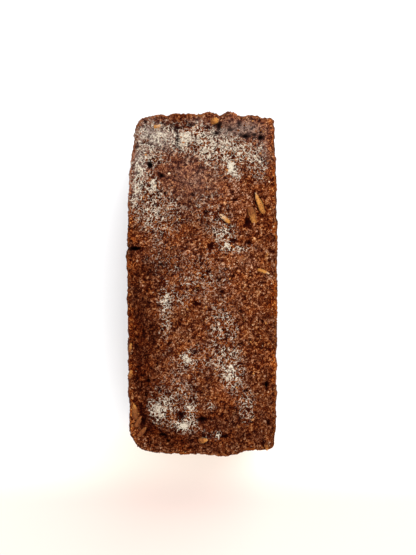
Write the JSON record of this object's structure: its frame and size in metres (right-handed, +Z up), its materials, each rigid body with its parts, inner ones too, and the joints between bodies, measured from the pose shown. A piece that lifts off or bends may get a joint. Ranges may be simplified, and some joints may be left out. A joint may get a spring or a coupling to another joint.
{
  "type": "tin loaf",
  "caption": "Dark rye tin loaf, whole: a long brick of dense bread with walls that lean in to a flat base, a low uneven top and crumbly edges.",
  "frame": {"origin": "middle of the flat base", "axes": "+X across the loaf to its right side, +Y along the loaf to its back end, +Z up"},
  "size_m": [0.08, 0.18, 0.065],
  "materials": {
    "rye_crust": "matte"
  },
  "bodies": {
    "root": {"tin_loaf": "rye_crust"}
  },
  "joints": []
}
